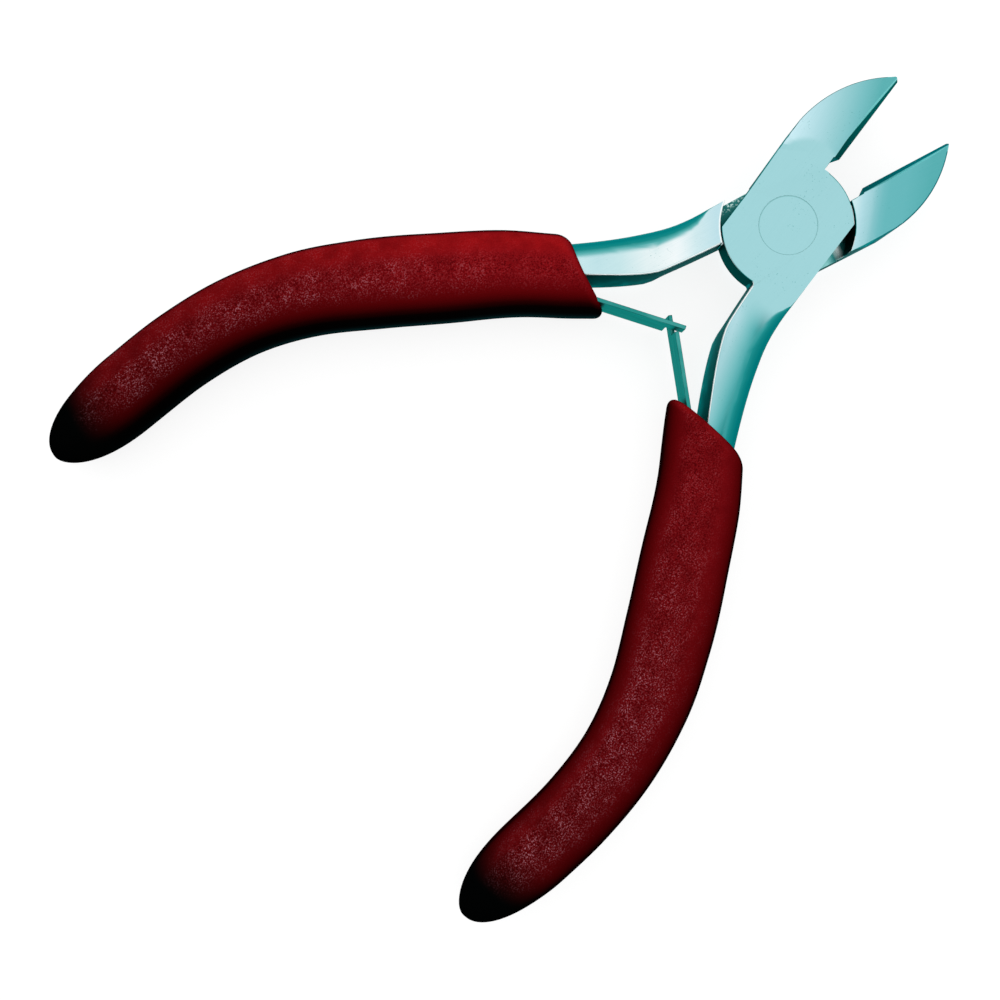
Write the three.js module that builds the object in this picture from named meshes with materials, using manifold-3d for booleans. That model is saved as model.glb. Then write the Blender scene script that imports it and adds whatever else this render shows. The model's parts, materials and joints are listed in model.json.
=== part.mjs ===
// Mini side cutters: two lap-jointed forged arms on a flush rivet, soft grips, and two leaf springs
// that hook into each other and hold the jaws open. Millimetres, +X along the tool towards the jaws,
// +Z out of the front face, origin on the pivot axis in the back face.
//
// Each arm is shaped as it lies with the jaws shut: jaw on +Y, handle on -Y, lap in the upper half.
// The back arm is the same forging turned over about X.
import * as THREE from "three";
import { mergeVertices } from "three/addons/utils/BufferGeometryUtils.js";
import Module from "manifold-3d";

const wasm = await Module();
wasm.setup();

// Head and lap joint
const headThickness = 8;
const headHalfWidth = 6.3;
const lapRadius = 8.05; // of the front arm's lap, whose disc shows
const hiddenLapRadius = 6.95; // of the back arm's lap under it
const lapGap = 0.1;
const shoulderClearance = 0.15;
const openAngle = 12.1; // degrees, each arm from shut to where the springs hold it

// Pivot rivet, countersunk at both ends and ground flush
const rivetHeadRadius = 3.55;
const rivetShankRadius = 2.6;
const rivetHeadDepth = 0.8;
const rivetClearance = 0.06;

// Jaw
const jawLength = 14.8; // lap to tip
const jawReach = lapRadius + jawLength; // pivot to tip
const jawWidth = 6.6; // where its straight back ends
const jawBackLength = 3;
const jawBackEnd = lapRadius + jawBackLength; // pivot to the end of that straight back
const jawBackPull = 4.4; // how far the straight back leads the curve of the nose
const jawNosePull = 4.8; // how far the nose leads it
const jawNoseAngle = 53; // degrees, nose to cutting edge
const tipWidth = 0.4;
const tipSetback = 0.2;
const throatLength = 2.4;
const edgeHeel = lapRadius + throatLength; // pivot to the heel of the cutting edge
const heelStep = 0.75; // depth of the step behind the heel
const heelStepSlope = 0.6; // length of the slope from the step to the edge
const edgeClearance = 0.05; // each edge to the middle plane when shut
const edgeLand = 0.1; // blunt height of the edge
const edgeDepth = 1.05; // edge below the front face at its heel
const edgeFall = 5.5; // degrees, edge down towards the tip
const frontBevelWidth = 0.65;
const backBevelWidth = 4;
const backBevelHollow = 0.35; // how far the back bevel is hollow ground
const faceFlatLength = 1;
const faceFallStart = lapRadius + faceFlatLength; // pivot to where the faces of the jaw start to fall
const faceFallTurn = 30; // degrees, direction of the fall from +X towards the jaw's back
const faceFallRadius = 35;

// Handle and the tang inside the grip
const wallAngle = 26.6; // degrees, the straight inner wall of the handle to the tool's axis
const wallPoint = [-16.2, -2.2]; // a point on that wall
const wallEnd = -38; // where the tang leaves its straight wall
const rootTaper = 0.06; // slope of the inner edge between the lap and the straight wall
const rootFillet = 0.4; // between the lap disc and that inner edge
const wallDraft = 0.5; // how far the front edge of the straight wall is set back at the grip's mouth
const rootReliefWidth = 2.4; // rounding of the inner edge on the back of the tool, beside the lap
const rootReliefRunOut = 2.2; // length over which that rounding dies out
const mouthThickness = 6.6;
const tangThickness = 5.6;
const tangEnd = -84.5;
const tangWidth = 4.4;
const tangTurns = [-56, -68, tangEnd]; // where the tang meets the middle of the grip
const handleWidth = 5; // across the handle at the grip's mouth, along Y
const handleRound = 2.6; // radius of the handle's outer corners
const runOutRound = 1.6; // the same, just behind the flat side of the head
const tangRound = 2.1;
const runOutLength = 2; // from the lap to where the outer corners have that radius
const roundLength = 7; // from the lap to where they have the full one
const flatLength = 4; // from the lap to where the handle starts to thin
const handleInnerRound = 0.25;
const sharp = 0.03; // radius left on edges that are ground sharp
const handleOuter = [[-11, -6.65], [-16, -7.95]]; // the outer edge between the head and the grip

// Grip
const gripClearance = 0.3;
const gripMouthWidth = 9.9; // across the grip
const gripPalmWidth = 11.1;
const gripWaistWidth = 9.9;
const gripTailWidth = 9.3;
const gripPalmX = -44;
const gripWaistX = -64;
const gripThickness = 10;
const gripRoundness = 2.5; // exponent of the section: 2 is an ellipse, more is squarer
const gripEndLength = 11.8; // the stretch over which the closed end rounds off in width
const gripEndRadius = 5.8; // the same in thickness
const gripLip = 1.2; // rounding of the mouth
const slantFade = 9; // length over which the slant of the mouth dies out
const gripBow = 11.65; // how far the middle of the grip bows out past its straight mouth
const gripMouthPath = [[-20, -4.3], [-26, -7.9], [-32, -11.5]];
const gripBowPath = [ // the bow, as parts of it
  [-40, 0.326], [-48, 0.627], [-56, 0.876], [-64, 1], [-72, 0.987], [-80, 0.88], [-86, 0.781], [-92, 0.687],
];
const gripPath = [
  ...gripMouthPath,
  ...gripBowPath.map(([x, part]) => [x, gripMouthPath.at(-1)[1] - gripBow * part]),
];

// Leaf springs
const leafThickness = 0.5;
const leafWidth = 6;
const leafSeatGap = 0.2;
const leafAngle = 46.3; // degrees, free leaf to the tool's axis with the jaws shut
const leafShoulder = 0.85; // shoulder beside the tongue, short of the crossing
const leafTongueGap = 0.3; // between the tongues of the two leaves
const leafRootLength = 8;
const leafBendGap = 0.35; // between the riveted root and the swinging blade
const leafPocketClearance = 0.35; // round the leaf inside the grip

// Leaf rivet
const leafRivetShankRadius = 0.9;
const leafRivetHeadRadius = 1.7;
const leafRivetHeadHeight = 0.7;
const leafRivetDomeRadius = 1.2; // of the flat on the head
const leafRivetDepth = handleWidth * 0.52; // of its shank in the tang
const leafRivetClearance = 0.1;

// What differs between the two halves. The edges meet a little to one side of the middle plane, the
// handles lean a little to one side, and the tips, grips and springs are ground, cut and set by hand.
const frontHalf = {
  name: "front", up: 1, lap: lapRadius, otherLap: hiddenLapRadius, edgeShift: -0.22, tipShift: 0.22,
  innerRoot: 1, handleLean: 0.009, mouthX: -24.95, mouthSlant: 0.085, gripEnd: -91.2, leafBendX: -28.2,
  leafTongue: 1.65, // length of the half-width tongue past the crossing
  reliefDepth: 4.2, reliefEnd: -15.6, // of the rounding beside the lap
};
const backHalf = {
  name: "back", up: -1, lap: hiddenLapRadius, otherLap: lapRadius, edgeShift: 0.2, tipShift: -0.1,
  innerRoot: 1.95, handleLean: -0.01, mouthX: -24.15, mouthSlant: 0.07, gripEnd: -92.4, leafBendX: -28.9,
  leafTongue: 1.3, reliefDepth: 3, reliefEnd: -17.4,
};
const leanStart = -30; // where the lean of a handle starts

// Facets
const roundFacets = 72;
const boreFacets = 48;
const leafRivetFacets = 20;
const arcSteps = 24;
const cornerSteps = 5;
const fallSteps = 10;
const gripSides = 24;
const gripStep = 4;
const handleStep = 1; // between sections of the bare handle
const tangStep = 8; // between sections of the tang
const lipParts = [0.1, 0.35, 0.65]; // sections in the rounding of a grip's mouth, as parts of it
const endParts = [0.3, 0.5, 0.7, 0.85, 0.95, 0.99]; // the same in its closed end
const overcut = 2; // how far a cut runs past the face it opens

const midZ = headThickness / 2;
const radians = THREE.MathUtils.degToRad;
const clamp = THREE.MathUtils.clamp;
const wallSlope = Math.tan(radians(wallAngle));
const wallY = (x) => wallPoint[1] + wallSlope * (x - wallPoint[0]);

const looks = {
  steel: { color: 0xa6d2d6, roughness: 0.28, metalness: 1 },
  spring: { color: 0x3a9a96, roughness: 0.35, metalness: 1 },
  grip: { color: 0x6f0d16, roughness: 0.75, metalness: 0 },
};

function piece(name, geometry, look) {
  const mesh = new THREE.Mesh(geometry, new THREE.MeshStandardMaterial(look));
  mesh.name = name;
  return mesh;
}

// A closed mesh as a solid that can be joined and cut
function solid(geometry) {
  geometry.deleteAttribute("normal");
  geometry.deleteAttribute("uv");
  const merged = mergeVertices(geometry);
  const corners = merged.index.array;
  const faces = [];
  for (let i = 0; i < corners.length; i += 3) {
    const [a, b, c] = corners.slice(i, i + 3);
    if (a !== b && b !== c && c !== a) faces.push(a, b, c);
  }
  const mesh = new wasm.Mesh({
    numProp: 3,
    vertProperties: merged.getAttribute("position").array,
    triVerts: new Uint32Array(faces),
  });
  return new wasm.Manifold(mesh);
}

function geometryOf(cutSolid) {
  const mesh = cutSolid.getMesh();
  const geometry = new THREE.BufferGeometry();
  geometry.setAttribute("position", new THREE.BufferAttribute(mesh.vertProperties, 3));
  geometry.setIndex(new THREE.BufferAttribute(mesh.triVerts, 1));
  const faceted = geometry.toNonIndexed();
  faceted.computeVertexNormals();
  return faceted;
}

// The smooth curve y(x) through points given from right to left, with no overshoot between them
function along(points, x) {
  const last = points.length - 1;
  const slope = (i) => (points[i + 1][1] - points[i][1]) / (points[i + 1][0] - points[i][0]);
  const tangent = (i) => {
    if (i === 0) return slope(0);
    if (i === last) return slope(last - 1);
    const before = slope(i - 1);
    const after = slope(i);
    return before * after <= 0 ? 0 : (2 * before * after) / (before + after);
  };
  if (x >= points[0][0]) return points[0][1] + tangent(0) * (x - points[0][0]);
  let i = 0;
  while (i < last - 1 && x < points[i + 1][0]) i += 1;
  const span = points[i + 1][0] - points[i][0];
  const t = (x - points[i][0]) / span;
  const rest = 1 - t;
  return (1 + 2 * t) * rest * rest * points[i][1] + t * rest * rest * span * tangent(i)
    + t * t * (3 - 2 * t) * points[i + 1][1] - t * t * rest * span * tangent(i + 1);
}

// A closed skin over rings of points that follow each other towards -X, with fans over both ends
function loft(rings) {
  const count = rings[0].length;
  const positions = rings.flat().flatMap((p) => [p.x, p.y, p.z]);
  const faces = [];
  for (let r = 0; r + 1 < rings.length; r += 1) {
    for (let i = 0; i < count; i += 1) {
      const j = (i + 1) % count;
      const [a, b, c, d] = [r * count + i, r * count + j, (r + 1) * count + j, (r + 1) * count + i];
      faces.push(a, d, b, b, d, c);
    }
  }
  const lastFirst = (rings.length - 1) * count;
  for (const [ring, first, faceRight] of [[rings[0], 0, true], [rings.at(-1), lastFirst, false]]) {
    const centre = ring.reduce((sum, p) => sum.add(p), new THREE.Vector3()).divideScalar(count);
    const hub = positions.length / 3;
    positions.push(centre.x, centre.y, centre.z);
    for (let i = 0; i < count; i += 1) {
      const j = (i + 1) % count;
      faces.push(hub, first + (faceRight ? i : j), first + (faceRight ? j : i));
    }
  }
  const geometry = new THREE.BufferGeometry();
  geometry.setAttribute("position", new THREE.Float32BufferAttribute(positions, 3));
  geometry.setIndex(faces);
  return geometry;
}

// Positions from one x to a lower one, about a step apart
function stations(from, to, step) {
  const count = Math.ceil((from - to) / step);
  return Array.from({ length: count + 1 }, (_, i) => from + ((to - from) * i) / count);
}

function extrude(shape, depth) {
  return new THREE.ExtrudeGeometry(shape, { depth, bevelEnabled: false, curveSegments: arcSteps });
}

function shapeOf(points) {
  return new THREE.Shape(points.map(([x, y]) => new THREE.Vector2(x, y)));
}

// A round rod along +Z from one height to another
function rod(radius, low, high, sides) {
  const geometry = new THREE.CylinderGeometry(radius, radius, high - low, sides);
  return geometry.rotateX(Math.PI / 2).translate(0, 0, (low + high) / 2);
}

// The rivet's outline turned about Z, larger all round by a clearance and longer at both ends by a run-out
function rivetSolid(clearance, runOut) {
  const head = rivetHeadRadius + clearance;
  const shank = rivetShankRadius + clearance;
  const cone = rivetHeadDepth + rivetHeadRadius - rivetShankRadius;
  const profile = [
    [0, -runOut], [head, -runOut], [head, rivetHeadDepth], [shank, cone],
    [shank, headThickness - cone], [head, headThickness - rivetHeadDepth],
    [head, headThickness + runOut], [0, headThickness + runOut],
  ];
  const points = profile.map(([r, z]) => new THREE.Vector2(r, z));
  return new THREE.LatheGeometry(points, boreFacets).rotateX(Math.PI / 2);
}

// Outline of the jaw, back to the pivot
function jawShape({ edgeShift, tipShift }) {
  const edge = edgeClearance + edgeShift;
  const tip = jawReach + tipShift;
  const nose = radians(jawNoseAngle);
  const shape = new THREE.Shape();
  shape.moveTo(edgeHeel, edge);
  shape.lineTo(tip - tipSetback, edge);
  shape.lineTo(tip, tipWidth);
  shape.bezierCurveTo(
    tip - jawNosePull * Math.cos(nose), tipWidth + jawNosePull * Math.sin(nose),
    jawBackEnd + jawBackPull, headHalfWidth,
    jawBackEnd, jawWidth,
  );
  shape.lineTo(0, headHalfWidth);
  shape.lineTo(0, edge + heelStep);
  shape.lineTo(edgeHeel - heelStepSlope, edge + heelStep);
  return shape;
}

// Outline of the lap disc between the two flat sides of the head
function lapShape({ lap }) {
  const corner = Math.asin(headHalfWidth / lap);
  const shape = new THREE.Shape();
  shape.absarc(0, 0, lap, -corner, corner, false);
  shape.absarc(0, 0, lap, Math.PI - corner, Math.PI + corner, false);
  return shape;
}

// The fillet in the corner between the lap disc and the inner edge of the handle
function rootFilletShape({ innerRoot }) {
  const inside = lapRadius / 8;
  const y = -innerRoot;
  const cy = y + rootFillet;
  const cx = -Math.sqrt((lapRadius + rootFillet) ** 2 - cy ** 2);
  const shape = new THREE.Shape();
  shape.moveTo(cx, y - inside);
  shape.lineTo(cx, y);
  shape.absarc(cx, cy, rootFillet, -Math.PI / 2, Math.atan2(-cy, -cx), false);
  shape.lineTo(inside - lapRadius, (cy * lapRadius) / (lapRadius + rootFillet));
  shape.lineTo(inside - lapRadius, y - inside);
  return shape;
}

// The middle of the grip, which leans towards its end
function gripMiddle(x, lean) {
  return along(gripPath, x) + lean * Math.min(0, x - leanStart);
}

// Edges, thickness and corner radius of the handle and its tang at x
function handleEdges({ innerRoot, mouthX, leafBendX, handleLean, reliefDepth, reliefEnd, up }) {
  const rootY = (x) => -innerRoot + rootTaper * (x + lapRadius);
  const bend = (wallY(0) - rootY(0)) / (rootTaper - wallSlope);
  const tang = tangTurns.map((x) => [x, gripMiddle(x, handleLean)]);
  const inner = [
    [0, rootY(0)], [bend + 1, rootY(bend + 1)], [bend - 1, wallY(bend - 1)], [wallEnd, wallY(wallEnd)],
    ...tang.map(([x, y]) => [x, y + tangWidth / 2]),
  ];
  const outer = [
    [0, -headHalfWidth], [1 - lapRadius, -headHalfWidth], ...handleOuter,
    [mouthX, wallY(mouthX) - handleWidth], [wallEnd, wallY(wallEnd) - handleWidth],
    ...tang.map(([x, y]) => [x, y - tangWidth / 2]),
  ];
  const thickness = [
    [0, headThickness], [-lapRadius - flatLength, headThickness], [mouthX, mouthThickness],
    [tangEnd, tangThickness],
  ];
  const round = [
    [0, sharp], [1 - lapRadius, sharp], [-lapRadius - runOutLength, runOutRound],
    [-lapRadius - roundLength, handleRound], [tangEnd, tangRound],
  ];
  const draft = [[0, 0], [bend, 0], [mouthX, wallDraft], [leafBendX, 0], [tangEnd, 0]];
  return { inner, outer, thickness, round, draft, reliefDepth, reliefEnd, up };
}

// Section of the handle at x, grown all round by a clearance
function handleRing(edges, x, grow) {
  const right = along(edges.inner, x) + grow;
  const left = along(edges.outer, x) - grow;
  const half = along(edges.thickness, x) / 2 + grow;
  const outerRound = along(edges.round, x) + grow;
  const crisp = Math.min(handleInnerRound, along(edges.round, x) * 2) + grow;
  const relief = clamp((x - edges.reliefEnd) / rootReliefRunOut, 0, 1);
  const reliefWidth = Math.max(crisp, rootReliefWidth * relief);
  const reliefDepth = Math.max(crisp, edges.reliefDepth * relief);
  const back = [right, reliefWidth, reliefDepth];
  const front = [right - along(edges.draft, x), crisp, crisp];
  const outer = [left, outerRound, outerRound];
  const corners = [
    [1, 1, edges.up > 0 ? front : back], [-1, 1, outer],
    [-1, -1, outer], [1, -1, edges.up > 0 ? back : front],
  ];
  return corners.flatMap(([ySign, zSign, [y, across, deep]], quarter) => {
    return Array.from({ length: cornerSteps + 1 }, (_, i) => {
      const angle = ((quarter + i / cornerSteps) * Math.PI) / 2;
      const cornerY = y - ySign * across + across * Math.cos(angle);
      const cornerZ = midZ + zSign * (half - deep) + deep * Math.sin(angle);
      return new THREE.Vector3(x, cornerY, cornerZ);
    });
  });
}

// What is ground off the jaw. Depths count from the ground front face, which is up for the front arm.
function jawCuts({ up, edgeShift }) {
  const edge = edgeClearance + edgeShift;
  const cutStart = edgeHeel - heelStepSlope - edgeLand;
  const height = (depth) => midZ + up * (headThickness / 2 - depth);
  const slope = radians(edgeFall);
  const length = jawReach - cutStart + 2 * overcut;
  const bevel = (outline) => {
    const geometry = extrude(shapeOf(outline.map(([y, depth]) => [y, -up * depth])), length);
    geometry.applyMatrix4(new THREE.Matrix4().makeBasis(
      new THREE.Vector3(0, 1, 0), new THREE.Vector3(0, 0, 1), new THREE.Vector3(1, 0, 0),
    ));
    geometry.rotateY(up * slope);
    return geometry.translate(cutStart, 0, height(edgeDepth));
  };
  const rise = edgeDepth + overcut;
  const run = (rise * frontBevelWidth) / edgeDepth;
  const sink = headThickness - edgeDepth - edgeLand;
  const frontBevel = bevel([[-overcut, 0], [edge, 0], [edge + run, -rise], [-overcut, -rise]]);
  const floor = edgeLand + sink;
  const middle = edge + backBevelWidth / 2 - backBevelHollow;
  const backBevel = bevel([
    [-overcut, edgeLand], [edge, edgeLand], [middle, edgeLand + sink / 2], [edge + backBevelWidth, floor],
    [edge + backBevelWidth + overcut, floor + 2 * overcut], [-overcut, floor + 2 * overcut],
  ]);
  const turn = radians(faceFallTurn);
  const reach = jawReach + overcut - faceFallStart;
  const fall = Array.from({ length: fallSteps + 1 }, (_, i) => {
    const d = (reach * i) / fallSteps;
    return [d, -(d * d) / (2 * faceFallRadius)];
  });
  const falls = [1, -1].map((facing) => {
    const geometry = extrude(shapeOf([...fall, [reach, overcut], [0, overcut]]), 4 * jawReach);
    geometry.translate(0, 0, -2 * jawReach);
    geometry.applyMatrix4(new THREE.Matrix4().makeBasis(
      new THREE.Vector3(Math.cos(turn), Math.sin(turn), 0), new THREE.Vector3(0, 0, facing),
      new THREE.Vector3(facing * Math.sin(turn), -facing * Math.cos(turn), 0),
    ));
    const at = faceFallStart;
    return geometry.translate(at * Math.cos(turn), at * Math.sin(turn), midZ + facing * midZ);
  });
  return [frontBevel, backBevel, ...falls];
}

// The frame of a leaf's riveted root: on the handle's wall at the bend, x along the wall, y off it
function leafRootGroup({ leafBendX }) {
  const group = new THREE.Group();
  group.position.set(leafBendX, wallY(leafBendX), 0);
  group.rotation.z = radians(wallAngle);
  group.updateMatrix();
  return group;
}

function leafRivetAxis(geometry) {
  return geometry.rotateX(-Math.PI / 2).translate(-leafRootLength / 2, 0, midZ);
}

function leafRivetHole() {
  const radius = leafRivetShankRadius + leafRivetClearance;
  return leafRivetAxis(rod(radius, -handleWidth - overcut, overcut, leafRivetFacets));
}

function armGeometry(half, edges, rootFrame) {
  const handleX = [
    ...stations(-lapRadius / 3, wallEnd, handleStep), ...stations(wallEnd - tangStep, tangEnd, tangStep),
  ];
  const handle = loft(handleX.map((x) => handleRing(edges, x, 0)));
  const lapCut = rod(half.otherLap + shoulderClearance, -overcut, midZ + lapGap / 2, roundFacets);
  const rivetHole = rivetSolid(rivetClearance, overcut);
  const leafHole = leafRivetHole().applyMatrix4(rootFrame);
  const lapDepth = (headThickness - lapGap) / 2;
  const lap = extrude(lapShape(half), lapDepth).translate(0, 0, headThickness - lapDepth);
  const jaw = extrude(jawShape(half), headThickness);
  const fillet = extrude(rootFilletShape(half), midZ).translate(0, 0, half.up > 0 ? midZ : 0);
  let arm = solid(handle).add(solid(jaw)).add(solid(fillet)).subtract(solid(lapCut)).add(solid(lap));
  for (const cut of [rivetHole, leafHole, ...jawCuts(half)]) {
    arm = arm.subtract(solid(cut));
  }
  return geometryOf(arm);
}

// Section of the grip at x, drawn in by the rounding of its two ends
function gripRing(half, x) {
  const slope = (gripMiddle(x - 1, half.handleLean) - gripMiddle(x + 1, half.handleLean)) / 2;
  const widths = [
    [half.mouthX, gripMouthWidth], [gripPalmX, gripPalmWidth], [gripWaistX, gripWaistWidth],
    [half.gripEnd, gripTailWidth],
  ];
  const width = along(widths, x);
  const fromEnd = x - half.gripEnd;
  const fromMouth = half.mouthX - x;
  const lip = Math.max(0, gripLip - fromMouth);
  const lipInset = gripLip - Math.sqrt(gripLip ** 2 - lip ** 2);
  const round = (length) => Math.sqrt(1 - Math.max(0, 1 - fromEnd / length) ** 2);
  const halfY = (width / 2) * Math.hypot(1, slope) * round(gripEndLength) - lipInset;
  const halfZ = (gripThickness / 2) * round(gripEndRadius) - lipInset;
  const slant = half.mouthSlant * Math.max(0, 1 - fromMouth / slantFade);
  const power = (value) => Math.sign(value) * Math.abs(value) ** (2 / gripRoundness);
  return Array.from({ length: gripSides }, (_, i) => {
    const angle = (2 * Math.PI * i) / gripSides;
    const off = halfY * power(Math.cos(angle));
    const slantedX = x + slant * off;
    const y = gripMiddle(slantedX, half.handleLean) + off;
    return new THREE.Vector3(slantedX, y, midZ + halfZ * power(Math.sin(angle)));
  });
}

// Where a leaf bends off the wall of its handle, with the arm open and lying as the front arm does
function leafBend({ leafBendX }) {
  const centre = new THREE.Vector2();
  const seat = new THREE.Vector2(0, leafSeatGap + leafThickness / 2).rotateAround(centre, radians(wallAngle));
  return seat.add(new THREE.Vector2(leafBendX, wallY(leafBendX))).rotateAround(centre, radians(openAngle));
}

// From the bend of one half's leaf to where it crosses the other half's
function leafHook(half, other) {
  const slope = radians(leafAngle + openAngle);
  const here = leafBend(half);
  const there = leafBend(other);
  return ((there.x - here.x) / Math.cos(slope) - (there.y + here.y) / Math.sin(slope)) / 2;
}

// The room in the grip for the leaf as it swings, and for its root and rivet
function leafPocket(hook) {
  const swing = radians(leafAngle - wallAngle);
  const bendY = leafSeatGap + leafThickness / 2;
  const beside = leafThickness / 2 + leafPocketClearance;
  const leafSide = (s) => [
    s * Math.cos(swing) - beside * Math.sin(swing), bendY + s * Math.sin(swing) + beside * Math.cos(swing),
  ];
  const rear = -leafRootLength - leafPocketClearance;
  const roof = leafSeatGap + leafThickness + leafRivetHeadHeight + leafRivetClearance + leafPocketClearance;
  const roofMeets = (roof - bendY - beside * Math.cos(swing)) / Math.sin(swing);
  const outline = [[rear, -overcut], [rear, roof], leafSide(roofMeets), leafSide(hook), [hook, -overcut]];
  const width = leafWidth + 2 * leafPocketClearance;
  return extrude(shapeOf(outline), width).translate(0, 0, midZ - width / 2);
}

function gripGeometry(half, edges, rootFrame, hook) {
  const endStart = half.gripEnd + gripEndLength;
  const skinX = [
    ...lipParts.map((part) => half.mouthX - gripLip * part),
    ...stations(half.mouthX - gripLip, endStart, gripStep),
    ...endParts.map((part) => endStart - gripEndLength * part),
  ];
  const boreX = [
    ...stations(half.mouthX + 2 * overcut, wallEnd, gripStep),
    ...stations(wallEnd - tangStep, tangEnd, tangStep),
    tangEnd - gripClearance,
  ];
  const skin = solid(loft(skinX.map((x) => gripRing(half, x))));
  const bore = solid(loft(boreX.map((x) => handleRing(edges, x, gripClearance))));
  const pocket = solid(leafPocket(hook).applyMatrix4(rootFrame));
  return geometryOf(skin.subtract(bore).subtract(pocket));
}

// The strip riveted to the handle, up to the bend
function leafRootGeometry() {
  const length = leafRootLength - leafBendGap;
  const strip = new THREE.BoxGeometry(length, leafThickness, leafWidth);
  strip.translate(-leafBendGap - length / 2, leafSeatGap + leafThickness / 2, midZ);
  return geometryOf(solid(strip).subtract(solid(leafRivetHole())));
}

function leafRivetGeometry() {
  const under = leafSeatGap + leafThickness + leafRivetClearance;
  const profile = [
    [0, -leafRivetDepth], [leafRivetShankRadius, -leafRivetDepth], [leafRivetShankRadius, under],
    [leafRivetHeadRadius, under], [leafRivetHeadRadius, under + leafRivetHeadHeight / 2],
    [leafRivetDomeRadius, under + leafRivetHeadHeight], [0, under + leafRivetHeadHeight],
  ];
  const points = profile.map(([r, z]) => new THREE.Vector2(r, z));
  const turned = new THREE.LatheGeometry(points, leafRivetFacets);
  return leafRivetAxis(turned.rotateX(Math.PI / 2));
}

// The free strip from the bend: full width to its shoulder, then a tongue of half its width
function leafBladeGeometry({ leafTongue }, hook) {
  const shoulder = hook - leafShoulder;
  const tongue = hook + leafTongue;
  const low = midZ - leafWidth / 2;
  const high = midZ + leafWidth / 2;
  const tongueTop = midZ - leafTongueGap / 2;
  const outline = [
    [0, low], [tongue, low], [tongue, tongueTop], [shoulder, tongueTop], [shoulder, high], [0, high],
  ];
  const strip = extrude(shapeOf(outline), leafThickness);
  return strip.rotateX(Math.PI / 2).translate(0, leafThickness / 2, 0);
}

function makeHalf(half, other) {
  const edges = handleEdges(half);
  const hook = leafHook(half, other);
  const root = leafRootGroup(half);
  const blade = new THREE.Group();
  blade.position.set(0, leafSeatGap + leafThickness / 2, 0);
  blade.rotation.z = radians(leafAngle - wallAngle);
  blade.add(piece(`${half.name}_leaf_blade`, leafBladeGeometry(half, hook), looks.spring));
  root.add(
    piece(`${half.name}_leaf_root`, leafRootGeometry(), looks.spring),
    piece(`${half.name}_leaf_rivet`, leafRivetGeometry(), looks.spring),
    blade,
  );
  const turned = new THREE.Group();
  turned.add(
    piece(`${half.name}_arm`, armGeometry(half, edges, root.matrix), looks.steel),
    piece(`${half.name}_grip`, gripGeometry(half, edges, root.matrix, hook), looks.grip),
    root,
  );
  const flipped = half.up < 0;
  turned.rotation.x = flipped ? Math.PI : 0;
  turned.position.z = flipped ? headThickness : 0;
  const opened = new THREE.Group();
  opened.rotation.z = half.up * radians(openAngle);
  opened.add(turned);
  return opened;
}

const sideCutters = new THREE.Group();
sideCutters.add(
  makeHalf(frontHalf, backHalf),
  makeHalf(backHalf, frontHalf),
  piece("pivot_rivet", rivetSolid(0, 0), looks.steel),
);

export default sideCutters;
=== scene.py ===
# Mini side cutters: forged and plated arms, dipped grips and two hooked leaf springs, dressed round the frame
import json
import math

import bmesh
import bpy
from mathutils import Matrix, Vector
from mathutils.bvhtree import BVHTree


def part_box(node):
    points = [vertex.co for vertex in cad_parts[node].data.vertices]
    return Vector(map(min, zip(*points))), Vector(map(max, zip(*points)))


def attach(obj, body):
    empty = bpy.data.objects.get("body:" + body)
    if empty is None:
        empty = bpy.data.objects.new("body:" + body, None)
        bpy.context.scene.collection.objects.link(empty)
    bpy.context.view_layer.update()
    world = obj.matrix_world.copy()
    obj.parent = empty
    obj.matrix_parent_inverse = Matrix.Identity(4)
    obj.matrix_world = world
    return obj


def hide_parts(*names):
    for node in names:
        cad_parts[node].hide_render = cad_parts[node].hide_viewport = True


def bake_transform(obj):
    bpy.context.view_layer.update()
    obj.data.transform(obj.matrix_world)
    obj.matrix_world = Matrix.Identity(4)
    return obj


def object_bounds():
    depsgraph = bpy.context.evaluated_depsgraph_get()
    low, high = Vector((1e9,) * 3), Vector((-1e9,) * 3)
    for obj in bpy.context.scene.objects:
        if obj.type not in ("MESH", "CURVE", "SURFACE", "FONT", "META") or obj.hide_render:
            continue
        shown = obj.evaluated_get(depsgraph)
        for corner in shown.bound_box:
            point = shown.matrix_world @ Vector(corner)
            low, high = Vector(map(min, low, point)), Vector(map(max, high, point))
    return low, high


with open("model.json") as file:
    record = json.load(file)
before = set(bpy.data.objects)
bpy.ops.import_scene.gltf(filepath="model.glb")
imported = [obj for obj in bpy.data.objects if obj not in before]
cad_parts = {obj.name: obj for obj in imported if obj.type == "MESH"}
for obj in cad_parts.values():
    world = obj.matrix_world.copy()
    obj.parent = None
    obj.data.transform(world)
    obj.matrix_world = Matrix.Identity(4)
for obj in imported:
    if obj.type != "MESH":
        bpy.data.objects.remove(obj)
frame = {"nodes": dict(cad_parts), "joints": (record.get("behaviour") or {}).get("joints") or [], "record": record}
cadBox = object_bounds()

mm = 0.001
hair = 0.01 * mm  # nearer than this is the same place
weldGap = 0.002 * mm
farOut = 1000  # mm
scene = bpy.context.scene
joints = {joint["name"]: joint for joint in frame["joints"]}
mounts = {mount["name"]: mount for mount in frame["record"]["mounts"]}
headThickness = mounts["front_face"]["pos_m"][2]
openAngle = math.radians(joints["jaw_pivot"]["range_deg"][1]) / 2  # each arm, from shut to where it rests

# each half in its own shut frame: jaw on +Y, handle on -Y; the back half is the same forging turned over
turnedOver = Matrix.Translation((0, 0, headThickness)) @ Matrix.Rotation(math.pi, 4, "X")
shutFrames = {
    "front": Matrix.Rotation(openAngle, 4, "Z"),
    "back": Matrix.Rotation(-openAngle, 4, "Z") @ turnedOver,
}


def linearColor(hexValue):  # sRGB hex to the linear values that shaders work in
    parts = [int(hexValue[i:i + 2], 16) / 255 for i in (1, 3, 5)]
    return [p / 12.92 if p <= 0.04045 else ((p + 0.055) / 1.055) ** 2.4 for p in parts] + [1]


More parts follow.
